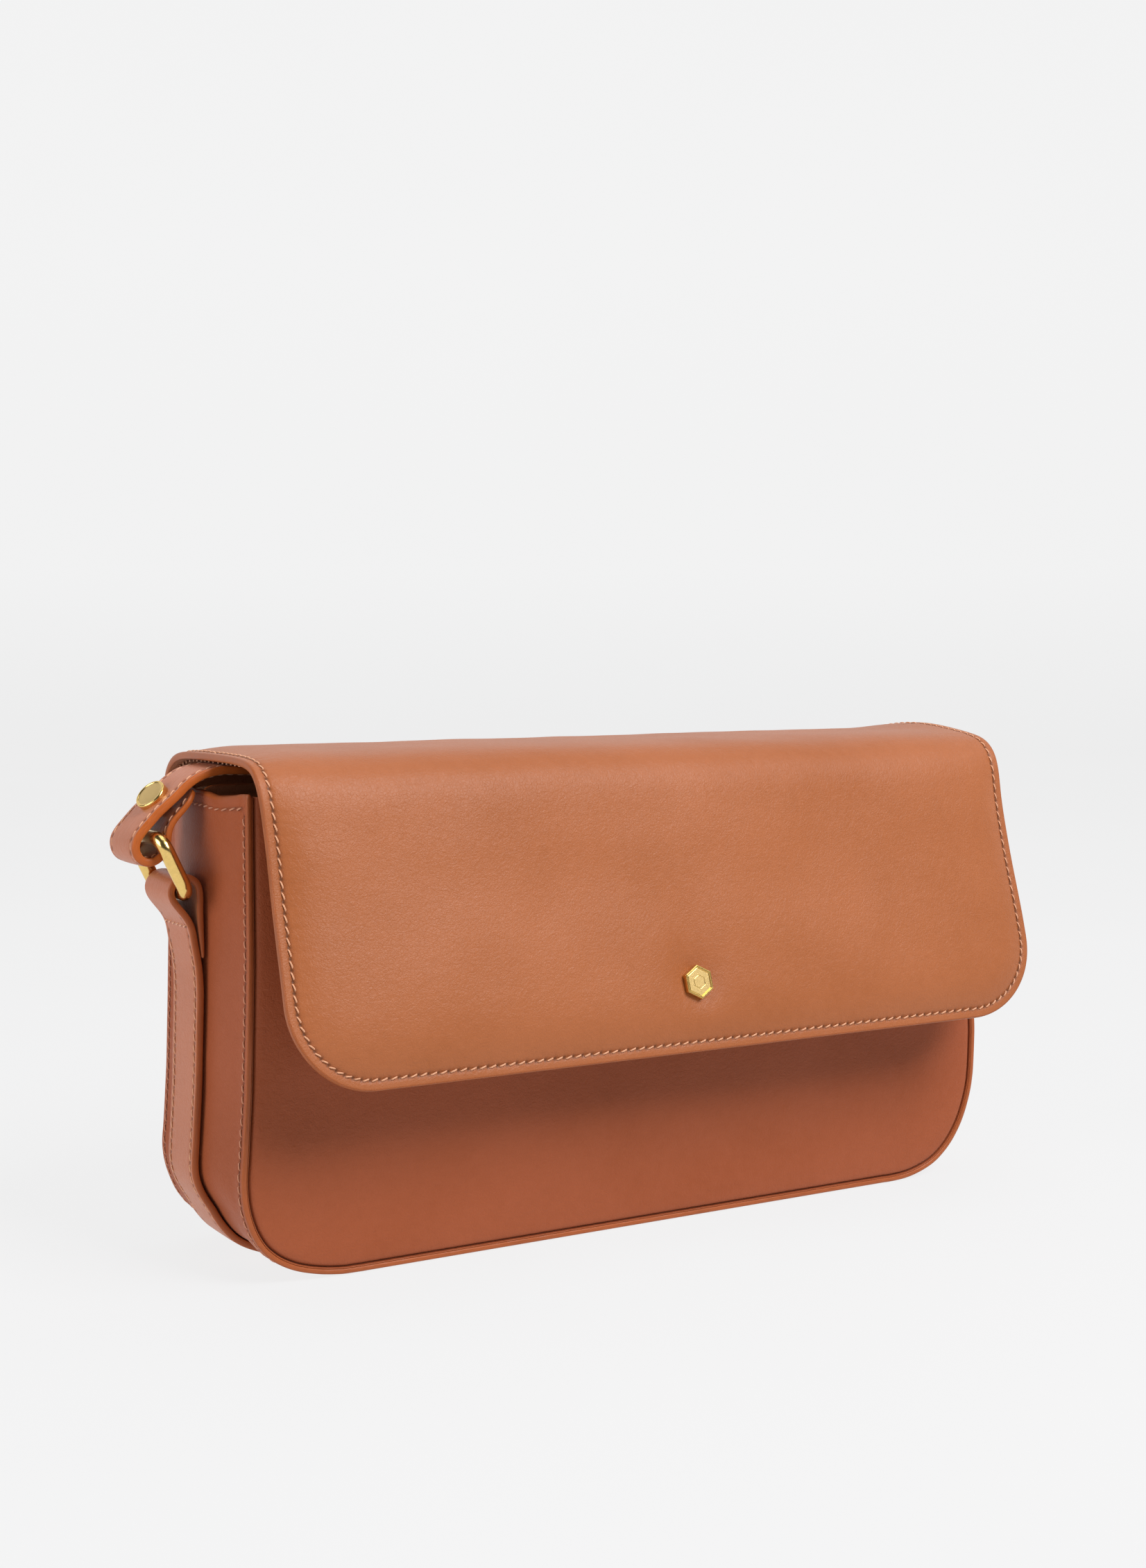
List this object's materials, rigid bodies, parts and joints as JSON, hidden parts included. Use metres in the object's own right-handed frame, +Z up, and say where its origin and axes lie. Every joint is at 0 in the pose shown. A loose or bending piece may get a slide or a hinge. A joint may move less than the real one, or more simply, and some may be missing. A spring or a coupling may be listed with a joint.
{
  "type": "sling bag",
  "caption": "Compact flap-over sling bag with a boxy wrap-round gusset, padded hinged flap, side rings on an anchor strip and a flat shoulder strap stowed inside.",
  "frame": {"origin": "centre of the base, on the surface the bag stands on", "axes": "+X across the bag's width, -Y out of the flap's front face, +Z up"},
  "size_m": [0.3204, 0.0963, 0.1554],
  "materials": {
    "flap_leather": "smooth satin full-grain calf, tan",
    "body_leather": "smooth satin full-grain calf, tan",
    "strap_leather": "smooth satin full-grain calf, tan, painted edges",
    "inner_leather": "matt split leather facing",
    "lining": "matt cotton twill",
    "board": "bonded leather fibre board, unfinished",
    "foam": "thin closed-cell padding",
    "polished_brass": "polished",
    "brushed_brass": "brushed face, polished rim"
  },
  "bodies": {
    "bag_body": {"gusset": "body_leather", "front_panel": "body_leather", "back_panel": "body_leather", "gusset_facing_left": "inner_leather", "gusset_facing_right": "inner_leather", "front_board": "board", "back_board": "board", "base_board": "board", "front_lining": "lining", "back_lining": "lining", "gusset_lining": "lining", "slip_pocket": "lining", "mouth_facing_front": "inner_leather", "mouth_facing_back": "inner_leather", "snap_socket": "polished_brass", "snap_socket_washer": "polished_brass", "anchor_strip": "strap_leather", "flap_back_apron": "flap_leather", "strap_middle_face": "strap_leather", "strap_middle_backing": "strap_leather"},
    "flap_top": {"flap_top_leather": "flap_leather", "flap_top_foam": "foam", "flap_top_lining": "inner_leather"},
    "flap_front": {"flap_front_leather": "flap_leather", "flap_front_foam": "foam", "flap_front_lining": "inner_leather", "flap_stud": "brushed_brass", "flap_snap_male": "polished_brass"},
    "ring_left": {"ring_left": "polished_brass"},
    "ring_right": {"ring_right": "polished_brass"},
    "strap_end_left": {"strap_end_left_face": "strap_leather", "strap_end_left_backing": "strap_leather", "strap_stud_left": "brushed_brass", "strap_screw_left": "polished_brass"},
    "strap_end_right": {"strap_end_right_face": "strap_leather", "strap_end_right_backing": "strap_leather", "strap_stud_right": "brushed_brass", "strap_screw_right": "polished_brass"}
  },
  "joints": [
    {"name": "flap_hinge", "type": "hinge", "parent": "bag_body", "child": "flap_top", "pos_m": [0, 0.0315, 0.153], "axis": [-1, 0, 0], "range_deg": [0, 110]},
    {"name": "flap_fold", "type": "hinge", "parent": "flap_top", "child": "flap_front", "pos_m": [0, -0.041, 0.1518], "axis": [-1, 0, 0], "range_deg": [-17, 90]},
    {"name": "ring_left_swing", "type": "hinge", "parent": "bag_body", "child": "ring_left", "pos_m": [-0.146, 0, 0.1138], "axis": [0, -1, 0], "range_deg": [0, 12]},
    {"name": "ring_right_swing", "type": "hinge", "parent": "bag_body", "child": "ring_right", "pos_m": [0.146, 0, 0.1138], "axis": [0, 1, 0], "range_deg": [0, 12]},
    {"name": "strap_left_slide", "type": "slide", "parent": "bag_body", "child": "strap_end_left", "axis": [-0.8518, 0, -0.5239], "range_m": [0, 0.0038]},
    {"name": "strap_right_slide", "type": "slide", "parent": "bag_body", "child": "strap_end_right", "axis": [0.8518, 0, -0.5239], "range_m": [0, 0.0038]}
  ],
  "couplings": [
    {"joint": "strap_left_slide", "follows": "ring_left_swing", "m_per_rad": 0.01805},
    {"joint": "strap_right_slide", "follows": "ring_right_swing", "m_per_rad": 0.01805}
  ]
}
